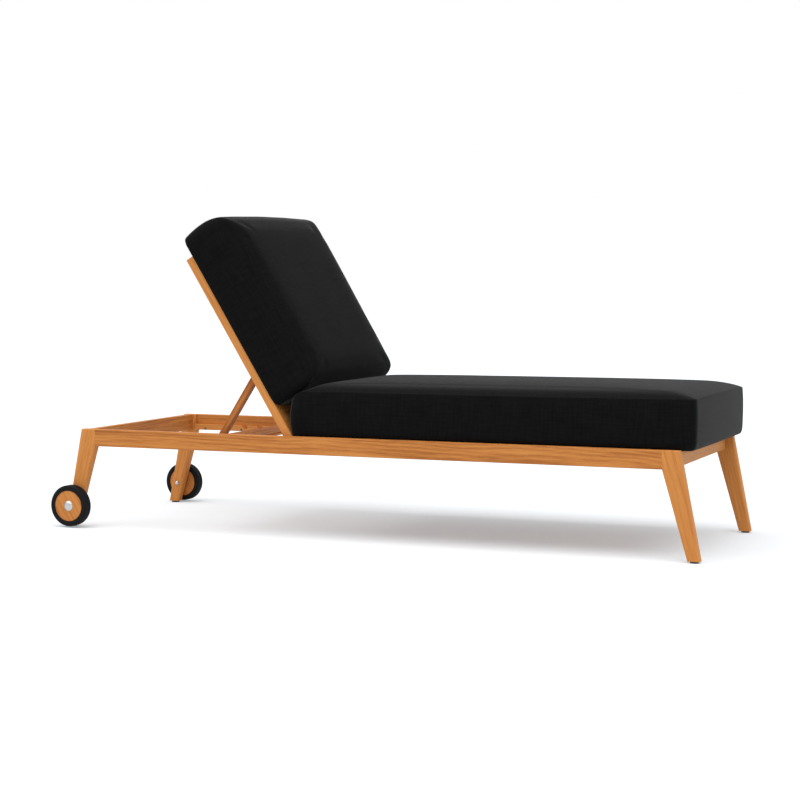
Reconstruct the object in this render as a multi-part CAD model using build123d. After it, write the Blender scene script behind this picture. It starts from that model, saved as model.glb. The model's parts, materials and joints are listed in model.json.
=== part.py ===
from build123d import *
import math
import os

# Teak chaise longue, millimetres. +X points to the foot end, -Y is the near side, +Z is up.
# Places along X are measured from the middle of the leg spread, and the last step moves
# everything so that the origin is under the middle of the whole.

# Frame
leg_spread = 1856.0
frame_width = 658.0
rail_top = 299.5
rail_height = 51.5
rail_thick = 20.0
rail_ease = 2.0
head_rail_inset = 15.0
foot_rail_inset = 20.0

# Legs: each edge leans outwards by a share of the drop below the rail's top
leg_thick = 27.0
leg_top_width = 63.6
outer_lean_share = 0.1954
inner_lean_share = 0.293
leg_round = 6.0
leg_inner_round = 4.0

# Glides under the legs
glide_height = 5.0
glide_radius = 12.0
glide_ease = 1.0
glide_stem_radius = 3.0
glide_stem = 14.0

# Loose tenons in the corner joints
tenon_thick = 8.0
tenon_tall = 28.0
tenon_reach = 18.0
cross_tenon_reach = 12.0

# Seat deck
bearer_deep = 20.0
bearer_tall = 22.0
bearer_room = 30.0
slat_count = 11
slat_width = 66.0
slat_thick = 14.0
slat_end_gap = 1.0
slat_inset = 5.0
stretcher_thick = 20.0
stretcher_tall = 34.0
stretcher_inset = 35.0
mid_stretcher_along = 340.0

# Screws of the deck and the strips
screw_radius = 2.0
screw_head_radius = 4.2
screw_head = 3.0
strip_screw_length = 28.0
slat_screw_length = 23.0
strip_screw_end = 40.0
strip_screw_count = 5

# Backrest
rest_angle = 58.3
hinge_along = -234.7
stile_end_gap = 24.1
stile_deep = 25.0
stile_wide = 25.0
hinge_room = 4.0
back_rail_thick = 20.0
bottom_rail_start = 26.0
bottom_rail_width = 100.0
top_rail_width = 60.0
back_slat_count = 6
back_slat_width = 60.0
back_slat_thick = 10.0
slat_side_room = 8.7
back_tenon = 12.0
back_tenon_thick = 6.0

# Hinge and pivot hardware
bolt_radius = 4.0
bolt_head_radius = 7.0
bolt_head = 3.5
insert_radius = 6.0
insert_length = 14.0
washer_radius = 9.0
fit_gap = 0.05
running_gap = 0.3

# Prop
pivot_along = 225.5
prop_angle = 57.45
prop_section = 20.0
prop_washer = 1.0
prop_bar_tall = 18.0
prop_bar_thick = 16.0
prop_bar_rise = 21.0
rod_radius = 6.0
rod_end_gap = 1.0

# Racks inside the side rails, with one notch for each angle of the backrest
notch_angles = (58.3, 51.7, 44.0, 33.2, 17.5)
rack_deep = 16.0
rack_tall = 18.5
rack_lift = 1.5
rack_room = 28.0
notch_radius = 6.6
notch_depth = 6.0
notch_lean = 45.0

# Wheels
axle_out_share = 0.5
axle_height = 66.5
wheel_radius = 62.5
wheel_width = 32.5
disc_radius = 47.0
disc_recess = 1.2
disc_ease = 2.0
tyre_round = 5.0
groove_count = 3
groove_pitch = 7.0
groove_wide = 1.4
groove_deep = 1.0
wheel_gap = 5.3
axle_radius = 5.0
bush_radius = 9.0
axle_washer_radius = 12.0
dome_radius = 15.0
dome_height = 6.0
nut_radius = 7.0
nut_height = 8.0
nut_wall = 2.5

# Cushions
cushion_side_inset = 15.0
seat_hinge_gap = 1.2
seat_overhang = 35.0
seat_height = 152.0
back_tuck = 91.3
back_overhang = 52.0
back_head_height = 153.0
back_foot_height = 145.0
cushion_gap = 1.0
cushion_crown = 6.0
cushion_draw = 4.0
side_bulge = 3.0
least_swell_share = 0.3
top_round = 28.0
bottom_round = 14.0
end_round = 16.0

# Sizes worked out from the ones above
half_spread = leg_spread / 2
half_width = frame_width / 2
rail_bottom = rail_top - rail_height
rail_inside = half_width - rail_thick
leg_inside = half_width - leg_thick
leg_drop = rail_top - glide_height
leg_foot_out = half_spread + outer_lean_share * leg_drop
leg_foot_in = half_spread - leg_top_width + inner_lean_share * leg_drop
joint_along = half_spread - leg_top_width + inner_lean_share * rail_height
deck_under = rail_top - slat_thick
bearer_start = hinge_along + bearer_room
slat_start = bearer_start + slat_inset
stretcher_places = (bearer_start + stretcher_inset, mid_stretcher_along)
stile_length = joint_along - stile_end_gap + hinge_along
hinge_height = rail_top - stile_deep / 2
stile_out = rail_inside - hinge_room
stile_in = stile_out - stile_wide
rack_bottom = rail_bottom + rack_lift
rack_top = rack_bottom + rack_tall
rack_inside = rail_inside - rack_deep
rod_height = rack_top - notch_depth
prop_out = stile_in - prop_washer - running_gap
prop_in = prop_out - prop_section
back_slat_field = 2 * (prop_in - slat_side_room)
axle_drop = rail_top - axle_height
axle_leg_out = half_spread + outer_lean_share * axle_drop
axle_leg_in = half_spread - leg_top_width + inner_lean_share * axle_drop
axle_along = axle_leg_in + axle_out_share * (axle_leg_out - axle_leg_in)
wheel_in = half_width + wheel_gap
wheel_out = wheel_in + wheel_width
centre_along = (axle_along + wheel_radius - leg_foot_out) / 2
cushion_half = half_width - cushion_side_inset
seat_start = hinge_along + seat_hinge_gap
seat_length = half_spread + seat_overhang - seat_start
seat_top_over_hinge = rail_top + seat_height - hinge_height
back_start = seat_top_over_hinge / math.sin(math.radians(rest_angle)) - back_tuck
back_length = stile_length + back_overhang - back_start

# The prop and the backrest make a triangle with the racks, so the prop's length follows
# from the two angles of the photographed pose.
hinge_drop = hinge_height - rod_height
prop_length = (pivot_along * math.sin(math.radians(rest_angle)) + hinge_drop) / math.sin(
    math.radians(prop_angle))

sides = {"near": -1, "far": 1}
root_half = math.sqrt(0.5)


def save(name, solids):
    """Move a piece so that the origin is under the middle of the whole, and write it."""
    group = solids if isinstance(solids, list) else [solids]
    moved = [Pos(centre_along, 0, 0) * solid for solid in group]
    shape = moved[0] if len(moved) == 1 else Compound(children=moved)
    export_step(shape, f"parts/{name}.step")


def block(x, y, z, ease=0, axis=None):
    """A box between pairs of limits, with the edges along one axis eased."""
    size = [high - low for low, high in (sorted(x), sorted(y), sorted(z))]
    centre = [(low + high) / 2 for low, high in (x, y, z)]
    solid = Pos(*centre) * Box(*size)
    if ease:
        solid = fillet(solid.edges().filter_by(axis), ease)
    return solid


def rod(radius, y, x=0, z=0):
    """A round bar along Y between two limits."""
    low, high = sorted(y)
    return Pos(x, (low + high) / 2, z) * Rot(90, 0, 0) * Cylinder(radius, high - low)


def upright_rod(radius, z, x, y):
    """A round bar along Z between two limits."""
    low, high = sorted(z)
    return Pos(x, y, (low + high) / 2) * Cylinder(radius, high - low)


def plate_xz(points, y):
    """A straight-sided plate: an outline in X and Z, carried along Y."""
    low, high = sorted(y)
    outline = Wire.make_polygon([(x, low, z) for x, z in points])
    return extrude(Face(outline), amount=high - low, dir=(0, 1, 0))


def raise_backrest(solid):
    """Turn a piece drawn in the flat backrest, with the hinge at zero, to the rest pose."""
    return Pos(hinge_along, 0, hinge_height) * Rot(0, rest_angle, 0) * solid


def prop_place():
    """The prop's place: its pivot on the raised backrest, its legs pointing to the head."""
    angle = math.radians(rest_angle)
    x = hinge_along - pivot_along * math.cos(angle)
    z = hinge_height + pivot_along * math.sin(angle)
    return Pos(x, 0, z) * Rot(0, -prop_angle, 0)


def rod_place(angle):
    """Where the prop's rod lies along X with the backrest at an angle."""
    lift = pivot_along * math.sin(math.radians(angle)) + hinge_drop
    reach = math.sqrt(prop_length**2 - lift**2)
    return hinge_along - pivot_along * math.cos(math.radians(angle)) - reach


def side_tenons(end, side):
    """The loose tenons of one corner: rail to leg, and cross rail to leg."""
    rail_middle = side * (half_width - rail_thick / 2)
    cross = cross_rail_span(end)
    cross_middle = (cross[0] + cross[1]) / 2
    height = (rail_bottom + rail_top) / 2
    z = (height - tenon_tall / 2, height + tenon_tall / 2)
    joint = end * joint_along
    along = block((joint - tenon_reach, joint + tenon_reach),
                  (rail_middle - tenon_thick / 2, rail_middle + tenon_thick / 2), z)
    across = block((cross_middle - tenon_thick / 2, cross_middle + tenon_thick / 2),
                   (side * (leg_inside - cross_tenon_reach),
                    side * (leg_inside + cross_tenon_reach)), z)
    return [along, across]


def cross_rail_span(end):
    """The limits along X of a cross rail."""
    inset = foot_rail_inset if end > 0 else head_rail_inset
    face = end * (half_spread - inset)
    return sorted((face, face - end * rail_thick))


def glide_centre(end, side):
    """The middle of a leg's foot."""
    return end * (leg_foot_out + leg_foot_in) / 2, side * (half_width - leg_thick / 2)


def glide(end, side):
    """A round foot with a stem that is driven into the leg."""
    x, y = glide_centre(end, side)
    foot = upright_rod(glide_radius, (0, glide_height), x, y)
    foot = fillet(foot.edges().group_by(Axis.Z)[0], glide_ease)
    return foot + upright_rod(glide_stem_radius, (glide_height, glide_height + glide_stem), x, y)


def leg(end, side):
    """A tapered leg whose head is the full height of the rails."""
    points = [(end * half_spread, rail_top), (end * leg_foot_out, glide_height),
              (end * leg_foot_in, glide_height), (end * joint_along, rail_bottom),
              (end * joint_along, rail_top)]
    solid = plate_xz(points, (side * leg_inside, side * half_width))
    outer = solid.edges().filter_by(lambda e: slanted(e) and abs(e.center().X) > half_spread)
    solid = fillet(outer, leg_round)
    inner = solid.edges().filter_by(lambda e: slanted(e) and abs(e.center().X) < half_spread)
    solid = fillet(inner, leg_inner_round)
    top = solid.edges().filter_by(Axis.X).group_by(Axis.Z)[-1]
    solid = fillet(top, rail_ease)
    x, y = glide_centre(end, side)
    solid -= upright_rod(glide_stem_radius, (glide_height, glide_height + glide_stem), x, y)
    for tenon in side_tenons(end, side):
        solid -= tenon
    if end < 0:
        solid -= rod(axle_radius, (side * leg_inside, side * half_width), end * axle_along,
                     axle_height)
    return solid


def slanted(edge):
    """Whether an edge is a long one that leans along X."""
    span = edge.bounding_box().size
    return edge.geom_type == GeomType.LINE and span.X > rail_ease and span.Z > rail_height


def screw(length):
    """A countersunk screw that points down, with its head's face at zero."""
    head = Pos(0, 0, -screw_head / 2) * Cone(screw_radius, screw_head_radius, screw_head)
    return head + Pos(0, 0, -length / 2) * Cylinder(screw_radius, length)


def strip_screws(side, inside, z, span):
    """The screws that hold a strip to its rail, in from the strip's inner face."""
    low, high = span
    step = (high - low - 2 * strip_screw_end) / (strip_screw_count - 1)
    screws = []
    for index in range(strip_screw_count):
        place = low + strip_screw_end + index * step
        turn = Rot(90 * side, 0, 0)
        screws.append(Pos(place, side * inside, z) * turn * screw(strip_screw_length))
    return screws


def bearer_span():
    """The limits along X of the seat bearers."""
    return bearer_start, joint_along


def rack_span():
    """The limits along X of the racks."""
    return -joint_along, hinge_along - rack_room


def bearer_screws(side):
    """The screws of one seat bearer."""
    return strip_screws(side, rail_inside - bearer_deep, deck_under - bearer_tall * 2 / 3,
                        bearer_span())


def rack_screws(side):
    """The screws of one rack."""
    return strip_screws(side, rack_inside, rack_bottom + rack_tall / 4, rack_span())


def side_rail(side):
    """A long side rail with pockets for its tenons and for the hinge's insert."""
    solid = block((-joint_along, joint_along), (side * rail_inside, side * half_width),
                  (rail_bottom, rail_top), rail_ease, Axis.X)
    for end in (-1, 1):
        solid -= side_tenons(end, side)[0]
    solid -= rod(insert_radius, (side * rail_inside, side * (rail_inside + insert_length)),
                 hinge_along, hinge_height)
    for screw in bearer_screws(side) + rack_screws(side):
        solid -= screw
    return solid


def cross_rail(end):
    """A rail across one end, between the legs' inner faces."""
    solid = block(cross_rail_span(end), (-leg_inside, leg_inside), (rail_bottom, rail_top),
                  rail_ease, Axis.Y)
    for side in sides.values():
        solid -= side_tenons(end, side)[1]
    return solid


def seat_slat_places():
    """The middles along X of the seat's cross slats."""
    last = joint_along - slat_end_gap - slat_width
    step = (last - slat_start) / (slat_count - 1)
    return [slat_start + index * step + slat_width / 2 for index in range(slat_count)]


def slat_screws(place):
    """The two screws of one seat slat."""
    y = rail_inside - bearer_deep / 2
    return [Pos(place, side * y, rail_top) * screw(slat_screw_length) for side in sides.values()]


def seat_slat(place):
    """One cross slat, its top level with the rails."""
    half = rail_inside - slat_end_gap
    solid = block((place - slat_width / 2, place + slat_width / 2), (-half, half),
                  (deck_under, rail_top), rail_ease, Axis.Y)
    for screw in slat_screws(place):
        solid -= screw
    return solid


def seat_bearer(side):
    """The strip that carries the slats, inside a side rail."""
    solid = block(bearer_span(), (side * (rail_inside - bearer_deep), side * rail_inside),
                  (deck_under - bearer_tall, deck_under), rail_ease, Axis.X)
    for screw in bearer_screws(side):
        solid -= screw
    for place in seat_slat_places():
        for screw in slat_screws(place):
            solid -= screw
    return solid


def stretcher(place):
    """A cross piece under the slats, between the bearers."""
    half = rail_inside - bearer_deep
    return block((place - stretcher_thick / 2, place + stretcher_thick / 2), (-half, half),
                 (deck_under - stretcher_tall, deck_under), rail_ease, Axis.Y)


def notch(side, angle):
    """The slanted slot that takes the prop's rod at one angle of the backrest."""
    x = rod_place(angle)
    y = (side * (rack_inside - rod_end_gap), side * rail_inside)
    seat = rod(notch_radius, y, x, rod_height)
    reach = rack_tall
    lean = Rot(0, notch_lean, 0)
    slot = Pos(x, 0, rod_height) * lean * block((-reach, 0), y, (-notch_radius, notch_radius))
    return seat + slot


def rack(side):
    """The notched strip inside a side rail."""
    solid = block(rack_span(), (side * rack_inside, side * rail_inside),
                  (rack_bottom, rack_top), rail_ease, Axis.X)
    for angle in notch_angles:
        solid -= notch(side, angle)
    for screw in rack_screws(side):
        solid -= screw
    return solid


def ring(radius_out, radius_in, y, x=0, z=0):
    """A plain sleeve or washer along Y between two limits."""
    return rod(radius_out, y, x, z) - rod(radius_in, y, x, z)


def shoulder_bolt(side, head_face, tip, x=0, z=0):
    """A bolt along Y with a low round head on its inner end."""
    head_inner = head_face - bolt_head
    solid = rod(bolt_radius, (side * head_face, side * tip), x, z)
    head = rod(bolt_head_radius, (side * head_inner, side * head_face), x, z)
    face = head.edges().sort_by(lambda e: abs(e.center().Y))[0]
    return solid + fillet(face, bolt_head / 3)


def hinge_bolt(side):
    """The bolt that the backrest turns on, screwed into the side rail."""
    return shoulder_bolt(side, stile_in - running_gap, rail_inside + insert_length, hinge_along,
                         hinge_height)


def hinge_insert(side):
    """The threaded insert in the side rail."""
    return ring(insert_radius, bolt_radius,
                  (side * rail_inside, side * (rail_inside + insert_length)), hinge_along,
                  hinge_height)


def hinge_spacer(side):
    """The spacer that keeps the stile off the rail."""
    return ring(washer_radius, bolt_radius,
                  (side * (stile_out + running_gap), side * rail_inside), hinge_along,
                  hinge_height)


def stile(side):
    """One side of the backrest frame, round about the hinge."""
    half = stile_deep / 2
    y = (side * stile_in, side * stile_out)
    body = block((-stile_length, 0), y, (-half, half))
    tail = rod(half, y)
    solid = body + tail
    long_edges = solid.edges().filter_by(Axis.X).filter_by(lambda e: e.length > stile_length / 2)
    solid = fillet(long_edges, rail_ease)
    solid -= rod(bolt_radius + fit_gap, y)
    solid -= rod(insert_radius, (side * stile_in, side * (stile_in + insert_length)),
                 -pivot_along)
    for tenon in back_frame_tenons(side):
        solid -= tenon
    return raise_backrest(solid)


def back_rail_depth():
    """The limits across the backrest's thickness of its cross rails."""
    return stile_deep / 2 - back_rail_thick, stile_deep / 2


def back_frame_tenon(side, start, width):
    """The stub tenon that a cross rail of the backrest has in a stile."""
    low, high = back_rail_depth()
    middle = (low + high) / 2
    return block((-start - width + width / 4, -start - width / 4),
                 (side * stile_in, side * (stile_in + back_tenon)),
                 (middle - back_tenon_thick / 2, middle + back_tenon_thick / 2))


def top_rail_start():
    """How far the top cross rail lies from the hinge."""
    return stile_length - top_rail_width


def back_frame_tenons(side):
    """The stub tenons of both cross rails in one stile."""
    return [back_frame_tenon(side, bottom_rail_start, bottom_rail_width),
            back_frame_tenon(side, top_rail_start(), top_rail_width)]


def back_cross_rail(start, width):
    """A cross rail of the backrest with a stub tenon at each end."""
    solid = block((-start - width, -start), (-stile_in, stile_in), back_rail_depth(), rail_ease,
                  Axis.Y)
    for side in sides.values():
        solid += back_frame_tenon(side, start, width)
    for index in range(back_slat_count):
        solid -= back_slat_flat(index)
    return raise_backrest(solid)


def back_slat_flat(index):
    """One upright slat of the backrest, with a stub in each cross rail."""
    step = (back_slat_field - back_slat_width) / (back_slat_count - 1)
    middle = -back_slat_field / 2 + back_slat_width / 2 + index * step
    low = bottom_rail_start + bottom_rail_width
    high = top_rail_start()
    face = stile_deep / 2 - rail_ease
    body = block((-high, -low), (middle - back_slat_width / 2, middle + back_slat_width / 2),
                 (face - back_slat_thick, face))
    stub_half = back_slat_width / 2 - rail_ease
    stub = block((-high - back_tenon, -low + back_tenon), (middle - stub_half, middle + stub_half),
                 (face - back_slat_thick + rail_ease, face - rail_ease))
    return body + stub


def prop_pivot_bolt(side):
    """The bolt that the prop turns on, screwed into the stile."""
    return raise_backrest(shoulder_bolt(side, prop_in - running_gap, stile_in + insert_length,
                                        -pivot_along))


def prop_insert(side):
    """The threaded insert in the stile."""
    return raise_backrest(ring(insert_radius, bolt_radius,
                                 (side * stile_in, side * (stile_in + insert_length)),
                                 -pivot_along))


def prop_washer_ring(side):
    """The washer between the prop and the stile."""
    return raise_backrest(ring(washer_radius, bolt_radius,
                                 (side * (stile_in - prop_washer), side * stile_in),
                                 -pivot_along))


def prop_leg(side):
    """One leg of the prop, round at both ends."""
    half = prop_section / 2
    y = (side * prop_in, side * prop_out)
    solid = block((-prop_length, 0), y, (-half, half)) + rod(half, y) + rod(half, y, -prop_length)
    long_edges = solid.edges().filter_by(Axis.X).filter_by(lambda e: e.length > prop_length / 2)
    solid = fillet(long_edges, rail_ease)
    solid -= rod(bolt_radius + fit_gap, y)
    solid -= rod(rod_radius, y, -prop_length)
    solid -= prop_bar_tenon(side)
    return prop_place() * solid


def prop_bar_tenon(side):
    """The stub that the prop's crossbar has in a leg."""
    middle = -prop_length + prop_bar_rise
    return block((middle - prop_bar_tall / 4, middle + prop_bar_tall / 4),
                 (side * prop_in, side * (prop_in + prop_section / 2)),
                 (-back_tenon_thick / 2, back_tenon_thick / 2))


def prop_bar():
    """The crossbar between the prop's legs."""
    middle = -prop_length + prop_bar_rise
    solid = block((middle - prop_bar_tall / 2, middle + prop_bar_tall / 2), (-prop_in, prop_in),
                  (-prop_bar_thick / 2, prop_bar_thick / 2), rail_ease, Axis.Y)
    for side in sides.values():
        solid += prop_bar_tenon(side)
    return prop_place() * solid


def prop_rod():
    """The round rod at the prop's foot, which reaches to the racks."""
    reach = rack_inside - rod_end_gap
    return prop_place() * rod(rod_radius, (-reach, reach), -prop_length)


def turned(points, side):
    """Turn an outline of radius and distance from the frame's middle about the axle."""
    outline = Wire.make_polygon([(-axle_along + radius, side * y, axle_height)
                                 for radius, y in points])
    axis = Axis((-axle_along, 0, axle_height), (0, 1, 0))
    return revolve(Face(outline), axis, 360)


def wheel_disc(side):
    """The teak disc, set back a little from the tyre's faces."""
    low = wheel_in + disc_recess
    high = wheel_out - disc_recess
    solid = rod(disc_radius, (side * low, side * high), -axle_along, axle_height)
    solid = fillet(solid.edges().filter_by(GeomType.CIRCLE), disc_ease)
    return solid - rod(bush_radius, (side * low, side * high), -axle_along, axle_height)


def tyre(side):
    """The rubber tyre, a ring with rounded shoulders and grooves round its tread."""
    y = (side * wheel_in, side * wheel_out)
    solid = rod(wheel_radius, y, -axle_along, axle_height)
    solid = fillet(solid.edges().filter_by(GeomType.CIRCLE), tyre_round)
    solid -= rod(disc_radius, y, -axle_along, axle_height)
    middle = (wheel_in + wheel_out) / 2
    for index in range(groove_count):
        place = middle + (index - (groove_count - 1) / 2) * groove_pitch
        points = [(wheel_radius - groove_deep, place - groove_wide / 2),
                  (wheel_radius + groove_deep, place - groove_wide / 2),
                  (wheel_radius + groove_deep, place + groove_wide / 2),
                  (wheel_radius - groove_deep, place + groove_wide / 2)]
        solid -= turned(points, side)
    return solid


def wheel_bush(side):
    """The sleeve in the wheel that runs on the axle."""
    y = (side * (wheel_in + disc_recess), side * (wheel_out - disc_recess))
    return ring(bush_radius, axle_radius + fit_gap, y, -axle_along, axle_height)


def axle_bolt(side):
    """The axle: a plain shank with a low dome outside the wheel."""
    face = wheel_out - disc_recess + running_gap
    nut_seat = leg_inside - nut_height + nut_wall
    shank = rod(axle_radius, (side * nut_seat, side * face), -axle_along, axle_height)
    return shank + dome(side, face, dome_radius, dome_height)


def dome(side, face, radius, height):
    """A low spherical cap whose flat face looks towards the frame."""
    ball_radius = (radius**2 + height**2) / (2 * height)
    ball = Pos(-axle_along, side * (face + height - ball_radius), axle_height) * Sphere(ball_radius)
    keep = rod(radius + height, (side * face, side * (face + 2 * height)), -axle_along,
               axle_height)
    return ball & keep


def axle_washer(side):
    """The spacer between the wheel and its leg."""
    return ring(axle_washer_radius, axle_radius,
                  (side * half_width, side * (wheel_in + disc_recess - running_gap)),
                  -axle_along, axle_height)


def dome_nut(side):
    """The closed nut on the leg's inner face."""
    ball = Pos(-axle_along, side * (leg_inside - nut_height + nut_radius),
               axle_height) * Sphere(nut_radius)
    body = rod(nut_radius, (side * leg_inside, side * (leg_inside - nut_height + nut_radius)),
               -axle_along, axle_height)
    keep = rod(2 * nut_radius, (side * leg_inside, side * (leg_inside - 2 * nut_height)),
               -axle_along, axle_height)
    shank = rod(axle_radius, (side * (leg_inside - nut_height + nut_wall), side * leg_inside),
                -axle_along, axle_height)
    return (ball + body) & keep - shank


def cushion_section(x, inset, share, height):
    """A closed outline across a cushion: flat under, drawn in at the sides, crowned on top."""
    half = cushion_half - inset - cushion_draw * share
    low = inset * bottom_round / end_round
    high = height - inset - cushion_crown * (1 - share)
    crown = cushion_crown * share
    bulge = side_bulge * share
    small = bottom_round * (1 - root_half)
    large = top_round * (1 - root_half)
    edges = [Edge.make_line((x, -half + bottom_round, low), (x, half - bottom_round, low)),
             Edge.make_three_point_arc((x, half - bottom_round, low),
                                       (x, half - small, low + small),
                                       (x, half, low + bottom_round)),
             Edge.make_three_point_arc((x, half, low + bottom_round),
                                       (x, half + bulge, (low + high) / 2),
                                       (x, half, high - top_round)),
             Edge.make_three_point_arc((x, half, high - top_round),
                                       (x, half - large, high - large),
                                       (x, half - top_round, high)),
             Edge.make_three_point_arc((x, half - top_round, high), (x, 0, high + crown),
                                       (x, -half + top_round, high)),
             Edge.make_three_point_arc((x, -half + top_round, high),
                                       (x, -half + large, high - large),
                                       (x, -half, high - top_round)),
             Edge.make_three_point_arc((x, -half, high - top_round),
                                       (x, -half - bulge, (low + high) / 2),
                                       (x, -half, low + bottom_round)),
             Edge.make_three_point_arc((x, -half, low + bottom_round),
                                       (x, -half + small, low + small),
                                       (x, -half + bottom_round, low))]
    return Wire(edges)


def cushion(length, head_height, foot_height):
    """A box cushion from X zero, lofted through sections that swell towards its middle."""
    sections = []
    end_shares = (0, 1 - root_half, 1)
    for depth_share in end_shares:
        inset = end_round * (1 - math.sqrt(1 - (1 - depth_share)**2))
        sections.append((depth_share * end_round, inset))
    stations = [(x, inset) for x, inset in sections]
    middle_shares = (0.25, 0.5, 0.75)
    stations += [(length * share, 0) for share in middle_shares]
    stations += [(length - x, inset) for x, inset in reversed(sections)]
    wires = []
    for x, inset in stations:
        swell_share = 1 - (1 - least_swell_share) * (2 * x / length - 1)**2
        height = head_height + (foot_height - head_height) * x / length
        wires.append(cushion_section(x, inset, swell_share, height))
    return Solid.make_loft(wires, ruled=True)


def seat_cushion():
    """The seat's box cushion, just clear of the deck, pressed in under the back cushion."""
    solid = cushion(seat_length, seat_height, seat_height)
    pressed = block((-back_start - back_length, cushion_gap - back_start),
                    (-half_width, half_width), (0, back_length))
    return Pos(seat_start, 0, rail_top + running_gap) * solid - raise_backrest(pressed)


def back_cushion():
    """The backrest's box cushion, which lies on the stiles and stands past their tops."""
    solid = cushion(back_length, back_head_height, back_foot_height)
    return raise_backrest(Pos(-back_start - back_length, 0, stile_deep / 2 + running_gap) * solid)


def write_frame():
    """Write the pieces that stay still."""
    for name, side in sides.items():
        save(f"side_rail_{name}", side_rail(side))
        save(f"seat_bearer_{name}", seat_bearer(side))
        save(f"rack_{name}", rack(side))
        save(f"leg_head_{name}", leg(-1, side))
        save(f"leg_foot_{name}", leg(1, side))
    save("head_rail", cross_rail(-1))
    save("foot_rail", cross_rail(1))
    for index, place in enumerate(seat_slat_places(), 1):
        save(f"seat_slat_{index:02d}", seat_slat(place))
    for index, place in enumerate(stretcher_places, 1):
        save(f"stretcher_{index}", stretcher(place))
    corners = [(end, side) for end in (-1, 1) for side in sides.values()]
    save("loose_tenons", [tenon for end, side in corners for tenon in side_tenons(end, side)])
    save("leg_glides", [glide(end, side) for end, side in corners])
    save("slat_screws", [screw for place in seat_slat_places() for screw in slat_screws(place)])
    strips = [bearer_screws(side) + rack_screws(side) for side in sides.values()]
    save("strip_screws", [screw for group in strips for screw in group])
    save("hinge_bolts", [hinge_bolt(side) for side in sides.values()])
    save("hinge_inserts", [hinge_insert(side) for side in sides.values()])
    save("hinge_spacers", [hinge_spacer(side) for side in sides.values()])
    save("axle_bolts", [axle_bolt(side) for side in sides.values()])
    save("axle_washers", [axle_washer(side) for side in sides.values()])
    save("axle_nuts", [dome_nut(side) for side in sides.values()])
    save("seat_cushion", seat_cushion())


def write_backrest():
    """Write the pieces that tilt with the backrest."""
    for name, side in sides.items():
        save(f"back_stile_{name}", stile(side))
    save("back_bottom_rail", back_cross_rail(bottom_rail_start, bottom_rail_width))
    save("back_top_rail", back_cross_rail(top_rail_start(), top_rail_width))
    for index in range(back_slat_count):
        save(f"back_slat_{index + 1}", raise_backrest(back_slat_flat(index)))
    save("prop_pivot_bolts", [prop_pivot_bolt(side) for side in sides.values()])
    save("prop_pivot_inserts", [prop_insert(side) for side in sides.values()])
    save("prop_pivot_washers", [prop_washer_ring(side) for side in sides.values()])
    save("back_cushion", back_cushion())


def write_prop():
    """Write the prop's pieces."""
    for name, side in sides.items():
        save(f"prop_leg_{name}", prop_leg(side))
    save("prop_bar", prop_bar())
    save("prop_rod", prop_rod())


def write_wheels():
    """Write the pieces that turn with each wheel."""
    for name, side in sides.items():
        save(f"wheel_disc_{name}", wheel_disc(side))
        save(f"tyre_{name}", tyre(side))
        save(f"wheel_bush_{name}", wheel_bush(side))


os.makedirs("parts", exist_ok=True)
write_frame()
write_backrest()
write_prop()
write_wheels()
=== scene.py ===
import json
import math

import bpy
import numpy as np
from mathutils import Matrix, Vector


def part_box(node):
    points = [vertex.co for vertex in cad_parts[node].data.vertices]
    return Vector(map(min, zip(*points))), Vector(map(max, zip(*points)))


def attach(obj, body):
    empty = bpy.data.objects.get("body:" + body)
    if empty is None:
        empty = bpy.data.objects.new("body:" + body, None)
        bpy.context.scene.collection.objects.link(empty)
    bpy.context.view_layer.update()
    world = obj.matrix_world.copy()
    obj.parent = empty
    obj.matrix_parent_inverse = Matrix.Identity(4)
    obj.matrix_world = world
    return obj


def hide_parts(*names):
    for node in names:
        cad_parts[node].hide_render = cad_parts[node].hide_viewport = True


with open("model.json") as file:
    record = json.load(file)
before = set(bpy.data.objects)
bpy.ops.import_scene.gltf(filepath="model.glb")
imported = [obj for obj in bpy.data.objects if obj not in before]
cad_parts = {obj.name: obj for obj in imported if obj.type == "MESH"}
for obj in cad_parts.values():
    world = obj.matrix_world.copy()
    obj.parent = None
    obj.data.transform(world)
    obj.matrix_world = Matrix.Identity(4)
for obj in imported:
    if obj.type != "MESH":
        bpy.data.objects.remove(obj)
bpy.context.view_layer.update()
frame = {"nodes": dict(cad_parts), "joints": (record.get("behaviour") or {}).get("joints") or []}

# Camera, found by fitting the frame's straight edges to the photograph
CAMERA_PLACE = (2.15404, -5.14404, 0.7788)
CAMERA_YAW = math.radians(22.712)
CAMERA_PITCH = math.radians(3.991)
CAMERA_ROLL = math.radians(-0.058)
CAMERA_LENS = 83.58
CAMERA_SENSOR = 36.0
CAMERA_SEES_TO = 60.0

# Light: sky strength off camera, and each lamp's strength and turn about Y
WHITE = (1.0, 1.0, 1.0, 1.0)
SKY_STRENGTH = 0.64
LAMPS = {"lamp_foot": (1.35, math.radians(16)), "lamp_head": (1.1, math.radians(-20))}
LAMP_WIDTH = math.radians(50)
LAMP_TILT = math.radians(18)

# Floor: its own colour keeps the shadow, and the lift makes it white to the camera
FLOOR_COLOUR = (0.675, 0.69, 0.705, 1.0)
FLOOR_LIFT = (0.25, 0.275, 0.29, 1.0)
FLOOR_ROUGH = 0.9
FLOOR_HALF = 30.0

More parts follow.
